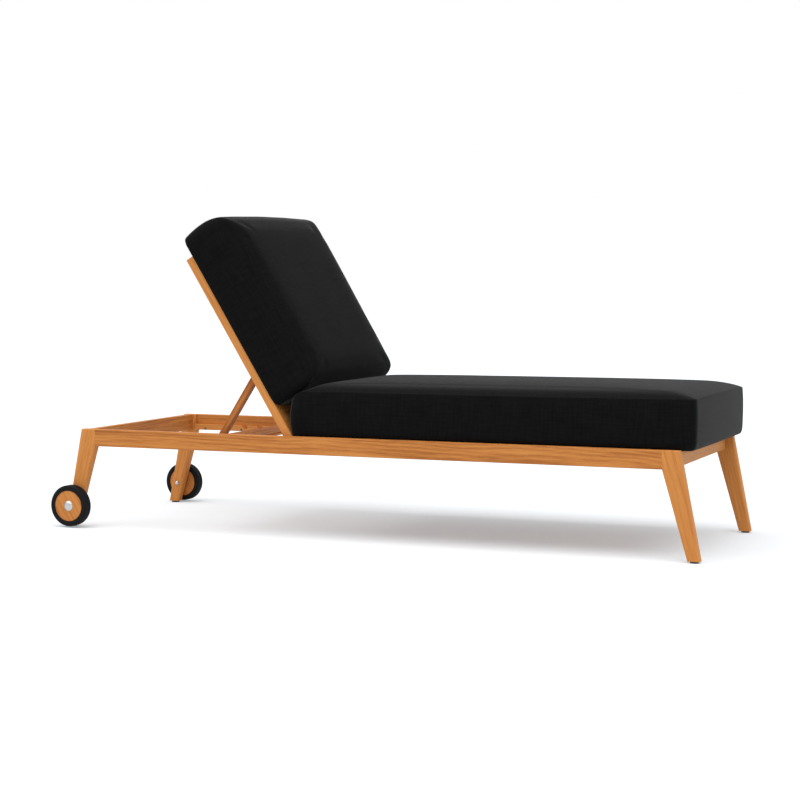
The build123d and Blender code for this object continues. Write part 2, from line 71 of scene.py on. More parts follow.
# Colours of the finishes
TEAK_LIGHT = (0.70, 0.305, 0.080, 1.0)
TEAK_MIDDLE = (0.585, 0.222, 0.050, 1.0)
TEAK_DARK = (0.33, 0.100, 0.018, 1.0)
FABRIC_DARK = (0.0022, 0.0022, 0.0023, 1.0)
FABRIC_LIGHT = (0.0085, 0.0085, 0.0087, 1.0)
RUBBER = (0.0035, 0.0035, 0.0037, 1.0)
RUBBER_DUSTY = (0.006, 0.006, 0.0063, 1.0)
STEEL = (0.56, 0.57, 0.58, 1.0)
DULL_STEEL = (0.15, 0.12, 0.09, 1.0)
BRASS = (0.72, 0.5, 0.2, 1.0)
GLIDE_BLACK = (0.014, 0.014, 0.014, 1.0)
NYLON = (0.7, 0.69, 0.64, 1.0)

NOISE_MIDDLE = (0.5, 0.5, 0.5)

# Lengths and gaps that stand for nothing, in metres
TINY_LENGTH = 1e-12
TINY_GAP = 1e-9
ON_EDGE = 1e-6

joints = {joint["name"]: joint for joint in frame["joints"]}
HINGE = Vector(joints["backrest_recline"]["pos_m"])
REST_ANGLE = -math.radians(joints["backrest_recline"]["range_deg"][0])


# Shader building

class Shader:
    """A node tree with short calls that add nodes and set or link their sockets."""

    def __init__(self, tree):
        self.tree = tree

    def add(self, kind, *inputs, out=0, **settings):
        """A node whose inputs are given in order, or by name in a dict, and one of its outputs."""
        made = self.tree.nodes.new("ShaderNode" + kind)
        for name, value in settings.items():
            setattr(made, name, value)
        for place, value in enumerate(inputs):
            pairs = value.items() if isinstance(value, dict) else [(place, value)]
            for key, item in pairs:
                self.set(made.inputs[key], item)
        return made.outputs[out]

    def set(self, socket, value):
        """Link a socket to an output, or give it a value."""
        if isinstance(value, bpy.types.NodeSocket):
            self.tree.links.new(value, socket)
        elif value is not None:
            socket.default_value = value

    def math(self, operation, *values, clamp=False):
        """A Math node."""
        return self.add("Math", *values, operation=operation, use_clamp=clamp)

    def ramp(self, factor, stops):
        """A Color Ramp from pairs of place and colour."""
        stops = list(stops)
        made = self.tree.nodes.new("ShaderNodeValToRGB")
        self.set(made.inputs[0], factor)
        elements = made.color_ramp.elements
        while len(elements) < len(stops):
            elements.new(1.0)
        for element, (place, colour) in zip(elements, stops):
            element.position = place
            element.color = colour
        return made.outputs[0]

    def mix(self, factor, first, second, blend="MIX"):
        """A colour mix."""
        made = self.tree.nodes.new("ShaderNodeMix")
        made.data_type = "RGBA"
        made.blend_type = blend
        self.set(made.inputs[0], factor)
        self.set(made.inputs[6], first)
        self.set(made.inputs[7], second)
        return made.outputs[2]


def new_group(name, inputs, outputs):
    """An empty node group with named sockets, and its input and output nodes."""
    group = bpy.data.node_groups.new(name, "ShaderNodeTree")
    for label, kind, value in inputs:
        socket = group.interface.new_socket(name=label, in_out="INPUT", socket_type=kind)
        if value is not None:
            socket.default_value = value
    for label, kind in outputs:
        group.interface.new_socket(name=label, in_out="OUTPUT", socket_type=kind)
    source = group.nodes.new("NodeGroupInput")
    target = group.nodes.new("NodeGroupOutput")
    return group, Shader(group), source.outputs, target.inputs


def place_group(shader, group, **values):
    """One use of a group, with values or links for its named inputs."""
    made = shader.tree.nodes.new("ShaderNodeGroup")
    made.node_tree = group
    for name, value in values.items():
        shader.set(made.inputs[name], value)
    return made.outputs


def new_material(name):
    """An empty material and its Principled shader."""
    material = bpy.data.materials.new(name)
    material.use_nodes = True
    shader = Shader(material.node_tree)
    principled = material.node_tree.nodes["Principled BSDF"]
    return material, shader, principled


# Teak: noise waves are to the metre, along the grain and then across it

BEND_WAVES = (2.2, 14.0, 14.0)
BEND_REACH = 0.05
ALONG_PITH = (0.02, 1.0, 1.0)
RINGS = 150.0
RING_DARKEST = 0.62
RING_POWER = 0.8
FIBRE_WAVES = (26.0, 900.0, 900.0)
BAND_WAVES = (3.5, 70.0, 70.0)
PORE_WAVES = (75.0, 1500.0, 1500.0)
PORE_FROM = 0.64
PORE_FULL = 0.72
PORE_DEPTH = 0.32
BAND_SHARE = 0.6
RING_SHARE = 0.24
FIBRE_SHARE = 0.55
TONE_DROP = 0.14
TONE_STOPS = (0.2, 0.46, 0.78)
TEAK_ROUGH = 0.46
FIBRE_ROUGH = 0.14
PORE_ROUGH = 0.12
FIBRE_HEIGHT = 0.35
TEAK_BUMP = {"Strength": 0.25, "Distance": 0.0003}
TEAK_SPECULAR = 0.22
FIGURE_REACH = 8
PITH_OFF = (0.02, 0.07)


def make_grain_group():
    """Teak figure along X: growth rings round a far pith, fibres, and dark pores.

    The ring number is the distance from the pith line times the rings to the metre, after a
    slow noise has bent the place. Within a ring the tone is |fraction - darkest| to a power,
    and broad bands and fine fibres are added to it. Pores are the peaks of a short noise.
    """
    group, s, given, result = new_group(
        "teak_grain",
        [("Vector", "NodeSocketVector", None), ("Shift", "NodeSocketVector", None),
         ("Rings", "NodeSocketFloat", RINGS), ("Darker", "NodeSocketFloat", 0.0)],
        [("Color", "NodeSocketColor"), ("Roughness", "NodeSocketFloat"),
         ("Height", "NodeSocketFloat")])
    place = s.add("VectorMath", given["Vector"], given["Shift"], operation="ADD")
    slow = s.add("VectorMath", place, BEND_WAVES, operation="MULTIPLY")
    bend = s.add("TexNoise", {"Vector": slow, "Scale": 1.0, "Detail": 2.0}, out=1)
    bend = s.add("VectorMath", bend, NOISE_MIDDLE, operation="SUBTRACT")
    bend = s.add("VectorMath", bend, {"Scale": BEND_REACH}, operation="SCALE")
    bent = s.add("VectorMath", place, bend, operation="ADD")
    flat = s.add("VectorMath", bent, ALONG_PITH, operation="MULTIPLY")
    away = s.add("VectorMath", flat, out=1, operation="LENGTH")
    ring = s.math("FRACT", s.math("MULTIPLY", away, given["Rings"]))
    ring = s.math("ABSOLUTE", s.math("SUBTRACT", ring, RING_DARKEST))
    ring = s.math("POWER", ring, RING_POWER)
    fine = s.add("VectorMath", place, FIBRE_WAVES, operation="MULTIPLY")
    fibre = s.add("TexNoise", {"Vector": fine, "Scale": 1.0, "Detail": 3.0, "Roughness": 0.6})
    broad = s.add("VectorMath", place, BAND_WAVES, operation="MULTIPLY")
    band = s.add("TexNoise", {"Vector": broad, "Scale": 1.0, "Detail": 3.0, "Roughness": 0.55})
    short = s.add("VectorMath", place, PORE_WAVES, operation="MULTIPLY")
    pore = s.add("TexNoise", {"Vector": short, "Scale": 1.0, "Detail": 1.0})
    pore = s.add("MapRange", {"Value": pore, "From Min": PORE_FROM, "From Max": PORE_FULL})
    tone = s.math("MULTIPLY_ADD", band, BAND_SHARE, s.math("MULTIPLY", ring, RING_SHARE))
    tone = s.math("MULTIPLY_ADD", fibre, FIBRE_SHARE, tone)
    tone = s.math("SUBTRACT", s.math("SUBTRACT", tone, TONE_DROP), given["Darker"])
    colour = s.ramp(tone, zip(TONE_STOPS, (TEAK_DARK, TEAK_MIDDLE, TEAK_LIGHT)))
    colour = s.mix(s.math("MULTIPLY", pore, PORE_DEPTH), colour, TEAK_DARK)
    s.set(result["Color"], colour)
    rough = s.math("MULTIPLY_ADD", fibre, FIBRE_ROUGH, TEAK_ROUGH)
    s.set(result["Roughness"], s.math("MULTIPLY_ADD", pore, PORE_ROUGH, rough))
    high = s.math("SUBTRACT", s.math("MULTIPLY", fibre, FIBRE_HEIGHT), pore)
    s.set(result["Height"], high)
    return group


grain_group = make_grain_group()


def teak(name, turn, centre, darker):
    """Teak whose grain runs along X after the turn, with a figure of its own.

    The figure's shift is drawn from a seed that is worked out from the name.
    """
    material, s, principled = new_material(name)
    where = s.add("TexCoord", out="Object")
    mapped = s.add("Mapping", {"Vector": where, "Location": centre, "Rotation": turn},
                   vector_type="TEXTURE")
    rng = np.random.default_rng(sum(ord(letter) * (at + 1) for at, letter in enumerate(name)))
    shift = (rng.uniform(-FIGURE_REACH, FIGURE_REACH), rng.uniform(*PITH_OFF),
             rng.uniform(*PITH_OFF))
    grain = place_group(s, grain_group, Vector=mapped, Shift=shift, Darker=darker)
    s.set(principled.inputs["Base Color"], grain["Color"])
    s.set(principled.inputs["Roughness"], grain["Roughness"])
    bump = s.add("Bump", {**TEAK_BUMP, "Height": grain["Height"]})
    s.set(principled.inputs["Normal"], bump)
    principled.inputs["Specular IOR Level"].default_value = TEAK_SPECULAR
    return material


def centre_of(node):
    """The middle of a CAD node."""
    low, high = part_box(node)
    return tuple((low + high) / 2)


def finish(node, material):
    """Give a CAD node a material."""
    slots = frame["nodes"][node].data.materials
    slots.clear()
    slots.append(material)


LEG_LEAN = math.atan(0.244)
PROP_LEAN = math.radians(57.45)
DISC_GRAIN = math.radians(62)
QUARTER = math.radians(90)
ALONG = (0.0, 0.0, 0.0)
ACROSS = (0.0, 0.0, QUARTER)

# How much darker, or with a minus lighter, single boards are drawn: partly tone that differs
# between boards, partly painted shade, as on the near side rail under the cushion's overhang, and
# painted light, as on the foot rail lit from the foot end
BOARD_TONE_AND_SHADE = {"side_rail_near": 0.13, "side_rail_far": 0.08, "prop_leg_near": 0.30,
          "prop_leg_far": 0.1, "head_rail": 0.1, "foot_rail": -0.12, "wheel_disc_near": 0.08,
          "wheel_disc_far": 0.1, "leg_foot_far": -0.05, "leg_head_near": -0.04}


def lean(angle):
    """A turn about Y that lays X along a direction tilted up from the horizontal."""
    return (0.0, angle, 0.0)


def finish_teak():
    """Each wooden node with its grain along its length, as its name's start tells."""
    turns = {"side_rail": ALONG, "seat_bearer": ALONG, "rack": ALONG, "head_rail": ACROSS,
             "foot_rail": ACROSS, "seat_slat": ACROSS, "stretcher": ACROSS,
             "leg_head": lean(LEG_LEAN - QUARTER), "leg_foot": lean(-LEG_LEAN - QUARTER),
             "back_stile": lean(REST_ANGLE), "back_slat": lean(REST_ANGLE),
             "back_bottom_rail": ACROSS, "back_top_rail": ACROSS,
             "prop_leg": lean(-PROP_LEAN), "prop_bar": ACROSS, "prop_rod": ACROSS,
             "wheel_disc": lean(DISC_GRAIN), "loose_tenons": ALONG}
    for node in frame["nodes"]:
        for start, turn in turns.items():
            if node.startswith(start):
                # Each board's darkening carries painted shade and painted light besides its own
                # tone
                finish(node, teak("teak_" + node, turn, centre_of(node),
                                  BOARD_TONE_AND_SHADE.get(node, 0.0)))


# Rubber, steel, brass and plastic: noise scales are waves to the metre

RUBBER_SKIN = 1800.0
RUBBER_PATCHES = 45.0
RUBBER_STOPS = (0.3, 0.75)
RUBBER_ROUGH = 0.6
PATCH_ROUGH = 0.2
RUBBER_SPECULAR = 0.15
RUBBER_BUMP = {"Strength": 0.3, "Distance": 0.0002}
TURNING_MARKS = (700.0, 60.0, 700.0)
MARKS_ROUGH = 0.12
MARKS_SHADE = 0.86
PLASTIC_SKIN = 900.0
PLASTIC_SHADE = 0.8
PLASTIC_ROUGH = 0.42
SKIN_ROUGH = 0.15


def rubber():
    """Black rubber with a fine moulded skin and a little dust."""
    material, s, principled = new_material("black_rubber")
    where = s.add("TexCoord", out="Object")
    skin = s.add("TexNoise", {"Vector": where, "Scale": RUBBER_SKIN, "Detail": 2.0})
    patch = s.add("TexNoise", {"Vector": where, "Scale": RUBBER_PATCHES, "Detail": 3.0})
    colour = s.ramp(patch, zip(RUBBER_STOPS, (RUBBER, RUBBER_DUSTY)))
    s.set(principled.inputs["Base Color"], colour)
    rough = s.math("MULTIPLY_ADD", patch, PATCH_ROUGH, RUBBER_ROUGH)
    s.set(principled.inputs["Roughness"], rough)
    principled.inputs["Specular IOR Level"].default_value = RUBBER_SPECULAR
    bump = s.add("Bump", {**RUBBER_BUMP, "Height": skin})
    s.set(principled.inputs["Normal"], bump)
    return material


def shaded(colour, share):
    """A colour times a share, still opaque."""
    return tuple(value * share for value in colour[:3]) + (1.0,)


def metal(name, colour, rough):
    """Metal with fine turning marks round the Y axis."""
    material, s, principled = new_material(name)
    where = s.add("TexCoord", out="Object")
    marks = s.add("VectorMath", where, TURNING_MARKS, operation="MULTIPLY")
    noise = s.add("TexNoise", {"Vector": marks, "Scale": 1.0, "Detail": 2.0})
    rough = s.math("MULTIPLY_ADD", noise, MARKS_ROUGH, rough)
    s.set(principled.inputs["Roughness"], rough)
    shade = s.mix(noise, colour, shaded(colour, MARKS_SHADE))
    s.set(principled.inputs["Base Color"], shade)
    principled.inputs["Metallic"].default_value = 1.0
    return material


def plastic(name, colour):
    """Moulded plastic with a faint texture."""
    material, s, principled = new_material(name)
    where = s.add("TexCoord", out="Object")
    noise = s.add("TexNoise", {"Vector": where, "Scale": PLASTIC_SKIN, "Detail": 2.0})
    shade = s.mix(noise, colour, shaded(colour, PLASTIC_SHADE))
    s.set(principled.inputs["Base Color"], shade)
    rough = s.math("MULTIPLY_ADD", noise, SKIN_ROUGH, PLASTIC_ROUGH)
    s.set(principled.inputs["Roughness"], rough)
    return material


def finish_fittings():
    """Rubber tyres, steel bolts, brass inserts and plastic glides and bushes."""
    tyre_rubber = rubber()
    steel = metal("stainless_steel", STEEL, rough=0.24)
    dull = metal("dull_steel", DULL_STEEL, rough=0.45)
    brass = metal("insert_brass", BRASS, rough=0.3)
    glide = plastic("glide_plastic", GLIDE_BLACK)
    nylon = plastic("bush_nylon", NYLON)
    for node in frame["nodes"]:
        if node.startswith("tyre"):
            finish(node, tyre_rubber)
        elif node == "strip_screws":
            finish(node, dull)
        elif "insert" in node:
            finish(node, brass)
        elif "glides" in node:
            finish(node, glide)
        elif "bush" in node:
            finish(node, nylon)
        elif any(word in node for word in ("bolt", "screw", "washer", "nut", "spacer")):
            finish(node, steel)


# Cushions, in metres. Each is drawn with X from one end along it and Z up from its base: the
# seat's from its head end along the frame, the back's from its upper end down the backrest.

CUSHION_HALF = 0.314

# The grid: the seam's half width, the first and the widest step, and how fast steps grow
SEAM_HALF = 0.0017
PANEL_STEPS = (0.0032, 0.0115)
STRIP_STEPS = (0.005, 0.0095)
STEP_GROWTH = 1.22

# The lower panel: how far its seam is over the base, and the run and power of its dome. The
# shares of that rise are at the near places from the start, then at the last of them from the
# end, and at the end.
UNDER_RISE = 0.011
UNDER_RUN = 0.007
UNDER_POWER = 3.0
UNDER_NEAR = (0, 0.02, 0.12)
UNDER_SHARES = (0.15, 0.3, 1, 1, 1.4)

# The outline's bow at the ends, and the strip: where along the cushion its bulge is the start's,
# the sides' and the end's, the share of its height from which it leans in to the upper seam,
# how well it holds its place under pressure, and the unevenness's shortest and longest wave
BOW_POWER = 5
BULGE_AT = (0.0, 0.1, 0.95, 1.0)
LEAN_FROM = 0.6
LEAN_RATE = 2.5
STRIP_HOLD = 0.85
UNEVEN_WAVES = (0.10, 0.34)
UNEVEN_COUNT = 9

# The seat's cushion along the frame, and its sag between the rails and the slats
SEAT_FROM = -0.2185
SEAT_TO = 0.9775
SEAT_BASE = 0.2998
SEAT_SEAM = 0.1295
SEAT_CLIMB = 0.004
SEAT_END_RISE = 0.004
SEAT_END_RUN = 1.2
SEAT_END_POWER = 6
SAG = 0.003
RAIL_FACE = 0.309
SAG_RUN = 0.004

# The back's cushion along the backrest, from the hinge up
BACK_FROM = 0.1022
BACK_CROWN = 0.003
BACK_TO = 0.6825
BACK_BASE = 0.0129
BACK_SEAM_FOOT = 0.124
BACK_SEAM_HEAD = 0.134
BACK_TWIST = 0.021

# Where the back's cushion presses on the seat's: the gap, the softness of the edge, and the
# lift towards the sides
PRESS_GAP = 0.0045
PRESS_SOFT = 0.001
PRESS_LIFT = 0.011
LIFT_FROM = 0.285
LIFT_RUN = 0.029

# Corner radius and power of the plan, how fast each end's depth grows, the panel's domes (rise,
# run, power), the ends' bow, the strip's bulge (start, sides, end) and its lean inwards along
# and across, the seam's sink, the most that the cloth moves, the unevenness and its seed
SEAT_SHAPE = {"radius": 0.034, "power": 2.4, "stretch": (1.0, 0.8),
              "panel": [(0.0120, 0.060, 1.9), (0.0195, 0.26, 2.0)], "bow": (0.0, 0.003),
              "bulge": (0.007, 0.0015, 0.0015), "inset": (0.001, 0.004), "sink": 0.0005,
              "swelling": 0.0008, "uneven": 0.0003, "sag": SAG, "seed": 11}
BACK_SHAPE = {"radius": 0.032, "power": 2.0, "stretch": (1.0, 1.8),
              "panel": [(0.024, 0.050, 2.3), (0.0145, 0.12, 2.0)], "bow": (0.0065, BACK_CROWN),
              "bulge": (0.007, 0.005, 0.001), "inset": (0.007, 0.013), "sink": 0.0002,
              "swelling": 0.004, "uneven": 0.0008, "sag": 0.0, "seed": 23}

# The cloth's stiffness and the pressure that swells it
CLOTH = {"quality": 5, "mass": 0.3, "tension_stiffness": 20, "compression_stiffness": 8,
         "shear_stiffness": 8, "bending_stiffness": 1.0, "use_pressure": True,
         "uniform_pressure_force": 4.0, "vertex_group_mass": "hold"}
CLOTH_FRAMES = 20


def graded(length, first, widest):
    """Places from 0 to a length: steps that grow from each end until they reach the widest.

    The second place and the last but one keep the seam's half width from the ends.
    """
    half = [0.0, SEAM_HALF]
    step = first
    while half[-1] + step < length / 2:
        half.append(half[-1] + step)
        step = min(step * STEP_GROWTH, widest)
    half = np.array(half) * (length / 2 - step / 2) / half[-1]
    half[1] = SEAM_HALF
    return np.concatenate([half, length - half[::-1]])


def box_surface(counts):
    """A grid on the six sides of a box: its points' numbers along X, Y and Z, and its faces.

    Each side is a grid of quads, and np.unique joins the points that two sides share. The last
    result says which axis each face looks along.
    """
    points, faces, looks = [], [], []
    start = 0
    for axis in range(3):
        first, second = [other for other in range(3) if other != axis]
        a, b = np.meshgrid(np.arange(counts[first] + 1), np.arange(counts[second] + 1),
                           indexing="ij")
        for end in (0, counts[axis]):
            block = np.empty((a.size, 3), int)
            block[:, axis] = end
            block[:, first] = a.ravel()
            block[:, second] = b.ravel()
            number = start + np.arange(a.size).reshape(a.shape)
            quads = np.stack([number[:-1, :-1], number[1:, :-1], number[1:, 1:],
                              number[:-1, 1:]], axis=-1).reshape(-1, 4)
            keeps_turn = (axis != 1) == (end > 0)
            points.append(block)
            faces.append(quads if keeps_turn else quads[:, ::-1])
            looks.append(np.full(len(quads), axis))
            start += a.size
    points, joined = np.unique(np.concatenate(points), axis=0, return_inverse=True)
    return points, joined.ravel()[np.concatenate(faces)], np.concatenate(looks)


def round_plan(x, y, half_x, half_y, radius, power, stretch):
    """Bend the corners of square rings to arcs, and give each point's depth inside the edge.

    Beyond the inner box, a point keeps its direction and its larger offset is its distance.
    The depth is a power mean of the gaps to the two nearest edges, so it turns the corners
    smoothly. A stretch under 1 at an end makes the depth grow more slowly from that end. The
    last result is the outward direction, which fades to nothing over the radius.
    """
    off_x = x - np.clip(x, radius - half_x, half_x - radius)
    off_y = y - np.clip(y, radius - half_y, half_y - radius)
    length = np.maximum(np.hypot(off_x, off_y), TINY_LENGTH)
    share = np.maximum(abs(off_x), abs(off_y)) / length
    gap_x = np.maximum(half_x - abs(x), TINY_GAP) * np.interp(x / half_x, (-0.5, 0.5), stretch)
    gap_y = np.maximum(half_y - abs(y), TINY_GAP)
    depth = (gap_x ** -power + gap_y ** -power) ** (-1 / power)
    near = np.maximum(abs(off_x), abs(off_y)) / radius
    outward = np.stack([off_x, off_y], axis=-1) * (near / length)[:, None]
    return x - off_x * (1 - share), y - off_y * (1 - share), depth, outward


def swell(depth, parts):
    """A panel's height over its seam: a sum of domes, each with a rise, a run and a power.

    Each dome is rise * (1 - (1 - depth / run) ** power), level beyond its run.
    """
    height = np.zeros(len(depth))
    for rise, run, power in parts:
        height += rise * (1 - (1 - np.clip(depth / run, 0, 1)) ** power)
    return height


def softer_least(first, second, soft):
    """The lesser of two heights, with the corner between them rounded."""
    least = np.minimum(first, second)
    return least - soft * np.log1p(np.exp(-abs(first - second) / soft))


def ripple(points, seed, shortest, longest):
    """A slow unevenness between -1 and 1: a sum of sine waves in seeded directions."""
    rng = np.random.default_rng(seed)
    directions = rng.normal(size=(UNEVEN_COUNT, 3))
    directions /= np.linalg.norm(directions, axis=1, keepdims=True)
    waves = rng.uniform(shortest, longest, UNEVEN_COUNT)
    phases = rng.uniform(0, 2 * math.pi, UNEVEN_COUNT)
    return np.sin(2 * math.pi * (points @ directions.T) / waves + phases).mean(axis=1)


def mesh_object(name, points, faces):
    """An object whose mesh has these points and faces, shaded smooth."""
    mesh = bpy.data.meshes.new(name)
    mesh.from_pydata(points.tolist(), [], faces.tolist())
    mesh.polygons.foreach_set("use_smooth", np.ones(len(faces), bool))
    mesh.update()
    piece = bpy.data.objects.new(name, mesh)
    bpy.context.scene.collection.objects.link(piece)
    return piece


def read_points(mesh, what="co"):
    """The vertices' places or normals as rows."""
    rows = np.empty(len(mesh.vertices) * 3)
    mesh.vertices.foreach_get(what, rows)
    return rows.reshape(-1, 3)


def inflate(piece, hold, cap):
    """Swell a piece as cloth under pressure and give its points.

    Hold is 1 where the cloth can't move, and cap is the furthest that a point goes: a move of
    length d becomes cap * tanh(d / cap).
    """
    rest = read_points(piece.data)
    group = piece.vertex_groups.new(name="hold")
    for level in np.unique(hold):
        group.add(np.flatnonzero(hold == level).tolist(), float(level), "REPLACE")
    cloth = piece.modifiers.new("cloth", "CLOTH")
    for setting, value in CLOTH.items():
        setattr(cloth.settings, setting, value)
    cloth.settings.effector_weights.gravity = 0
    cloth.collision_settings.use_collision = False
    scene = bpy.context.scene
    for at in range(1, CLOTH_FRAMES + 1):
        scene.frame_set(at)
    graph = bpy.context.evaluated_depsgraph_get()
    moved = read_points(piece.evaluated_get(graph).data) - rest
    piece.modifiers.remove(cloth)
    piece.vertex_groups.remove(group)
    scene.frame_set(1)
    length = np.maximum(np.linalg.norm(moved, axis=1, keepdims=True), TINY_LENGTH)
    return rest + moved * (cap * np.tanh(length / cap) / length)


def slat_gap(x):
    """1 in the gaps beside the seat's slats and 0 over a slat, with a slope between them."""
    spans = [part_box(node) for node in frame["nodes"] if node.startswith("seat_slat")]
    apart = np.min([np.maximum(low[0] - x, x - high[0]) for low, high in spans], axis=0)
    return np.clip(apart / SAG_RUN, 0, 1)


def boxed_cushion(name, length, base, seam, shape, press, place):
    """A boxed cushion: two panels sewn to an upright strip, swollen as cloth under pressure.

    It is drawn with its length from X zero and its underside at base. Its plan is a rectangle
    with rounded corners, and the ends bow out a little. The strip goes from the lower seam to
    the upper one, whose height over base is seam(x, y), and it swells out between them. The
    upper panel is a dome over its seam, and the lower one a shallow dome under its own.

    With x from the middle, an end's bow is its reach * (2x / length) ** power * (1 - (y / half)
    ** 2). At a share of its height the strip is out by 4 * bulge * share * (1 - share), and near
    its top it leans in by the inset. The underside sags into the gaps between the slats if the
    shape says so. press lowers what another cushion pushes down, and place moves the points to
    the row frame.
    """
    across = graded(length, *PANEL_STEPS)
    deep = graded(2 * CUSHION_HALF, *PANEL_STEPS)
    strip_tall = seam(length / 2, 0.0) - UNDER_RISE
    strip = graded(strip_tall, *STRIP_STEPS) / strip_tall
    numbers, faces, looks = box_surface([len(places) - 1 for places in (across, deep, strip)])
    flat_x = across[numbers[:, 0]] - length / 2
    flat_y = deep[numbers[:, 1]] - CUSHION_HALF
    share = strip[numbers[:, 2]]
    x, y, depth, outward = round_plan(flat_x, flat_y, length / 2, CUSHION_HALF,
                                      shape["radius"], shape["power"], shape["stretch"])
    bow = np.where(x < 0, *shape["bow"])
    bow = bow * (2 * x / length) ** BOW_POWER * (1 - (y / CUSHION_HALF) ** 2)
    x = x + bow + length / 2
    upper = share == 1
    lower = share == 0
    start, sides, end = shape["bulge"]
    bulge = np.interp(x / length, BULGE_AT, (start, sides, sides, end))
    bulge = bulge * 4 * share * (1 - share)
    leaning = np.where(upper, 1.0, np.clip(LEAN_RATE * share - LEAN_FROM * LEAN_RATE, 0, 1) ** 2)
    leaning = np.where(lower, 0.0, leaning)
    x += outward[:, 0] * (bulge - shape["inset"][0] * leaning)
    y += outward[:, 1] * (bulge - shape["inset"][1] * leaning)
    rise = UNDER_RISE * np.interp(x, (*UNDER_NEAR, length - UNDER_NEAR[-1], length),
                                  UNDER_SHARES)
    low_seam = base + rise
    high_seam = base + seam(x, y)
    top = high_seam + swell(depth, shape["panel"])
    if press:
        high_seam = press(x, y, high_seam)
        top = press(x, y, top)
    z = np.where(upper, top, low_seam + share * (high_seam - low_seam))
    z -= np.where(lower, rise * swell(depth, [(1.0, UNDER_RUN, UNDER_POWER)]), 0)
    if shape["sag"]:
        between_rails = np.clip((RAIL_FACE - abs(y)) / SAG_RUN, 0, 1)
        z -= np.where(lower, shape["sag"] * between_rails * slat_gap(x + SEAT_FROM), 0)
    seams = (depth < ON_EDGE) & (upper | lower)
    piece = mesh_object(name, np.stack([x, y, z], axis=-1), faces)
    hold = np.where(lower | seams, 1.0, np.where(upper, 0.0, STRIP_HOLD))
    points = inflate(piece, hold, shape["swelling"])
    if press:
        points[upper, 2] = press(points[upper, 0], points[upper, 1], points[upper, 2])
    piece.data.vertices.foreach_set("co", points.ravel())
    piece.data.update()
    normals = read_points(piece.data, "normal")
    uneven = shape["uneven"] * ripple(points, shape["seed"], *UNEVEN_WAVES)
    uneven = np.where(lower, 0.0, uneven)
    points += normals * (uneven - np.where(seams, shape["sink"], 0.0))[:, None]
    piece.data.vertices.foreach_set("co", place(points).ravel())
    add_cloth_uv(piece.data, faces, looks, points)
    piece.data.update()
    smooth = piece.modifiers.new("smooth", "SUBSURF")
    smooth.levels = 1
    smooth.render_levels = 1
    return piece


def add_cloth_uv(mesh, faces, looks, points):
    """UV in metres along the cloth's threads: each side of the box is laid flat."""
    corners = points[faces]
    u = np.where(looks[:, None] == 0, corners[:, :, 1], corners[:, :, 0])
    v = np.where(looks[:, None] == 2, corners[:, :, 1], corners[:, :, 2])
    layer = mesh.uv_layers.new(name="cloth")
    layer.data.foreach_set("uv", np.stack([u, v], axis=-1).ravel())


def seat_cushion():
    """The seat's cushion, pressed down at its head end by the back cushion's lower end."""
    def seam(x, y):
        """It climbs evenly to the foot end, and a little more in the middle of that end."""
        end_rise = SEAT_END_RISE * (1 - (y / CUSHION_HALF) ** 2)
        return SEAT_SEAM + SEAT_CLIMB * x + end_rise * (x / SEAT_END_RUN) ** SEAT_END_POWER

    def press(x, y, z):
        """The height under the plane that the back cushion's lower end lies in."""
        over_x = SEAT_FROM + x - HINGE.x
        slope = math.cos(REST_ANGLE) / math.sin(REST_ANGLE)
        plane = HINGE.z + (BACK_FROM - PRESS_GAP) / math.sin(REST_ANGLE) + slope * over_x
        lift = PRESS_LIFT * (np.clip(abs(y) - LIFT_FROM, 0, None) / LIFT_RUN) ** 2
        return softer_least(z, plane + lift, PRESS_SOFT)

    def place(points):
        """Along the frame."""
        return points + np.array([SEAT_FROM, 0.0, 0.0])

    piece = boxed_cushion("seat_cushion_cover", SEAT_TO - SEAT_FROM, SEAT_BASE, seam,
                          SEAT_SHAPE, press, place)
    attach(piece, "frame")
    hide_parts("seat_cushion")
    return piece


def back_cushion():
    """The backrest's cushion, drawn from its upper end and turned to the raised backrest.

    It is a little thicker towards the far side, as in the photograph.
    """
    length = BACK_TO - BACK_FROM - BACK_CROWN

    def seam(x, y):
        """It falls evenly from the upper end to the lower, and rises to the far side."""
        taper = (BACK_SEAM_FOOT - BACK_SEAM_HEAD) * x / length
        return BACK_SEAM_HEAD + taper + BACK_TWIST * y

    def place(points):
        """Up the raised backrest and out from it."""
        up = BACK_TO - points[:, 0]
        out = points[:, 2]
        sine, cosine = math.sin(REST_ANGLE), math.cos(REST_ANGLE)
        return np.stack([HINGE.x - up * cosine + out * sine, points[:, 1],
                         HINGE.z + up * sine + out * cosine], axis=-1)

    piece = boxed_cushion("back_cushion_cover", length, BACK_BASE, seam,
                          BACK_SHAPE, None, place)
    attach(piece, "backrest")
    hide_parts("back_cushion")
    return piece


# Cloth: threads and noise waves are to the metre, the waves across a thread and then along it

THREADS = 1180.0
WANDER_WAVES = 60.0
WANDER_REACH = 0.0008
SLUB_WAVES = (1150.0, 26.0)
STREAK_WAVES = (170.0, 14.0)
MOTTLE_WAVES = 12.0
THREAD_TONE = 0.9
MOTTLE_TONE = 0.35
STREAK_TONE = 0.8
WEAVE_TONE = 0.45
TONE_LESS = 1.25
THREAD_ROUGH = 0.12
CLOTH_ROUGH = 0.82
THREAD_HEIGHT = 0.35
STREAK_HEIGHT = 3.4
CLOTH_BUMP = {"Strength": 0.4, "Distance": 0.0002}
CLOTH_SPECULAR = 0.05
CLOTH_SHEEN = 0.20
SHEEN_ROUGH = 0.26


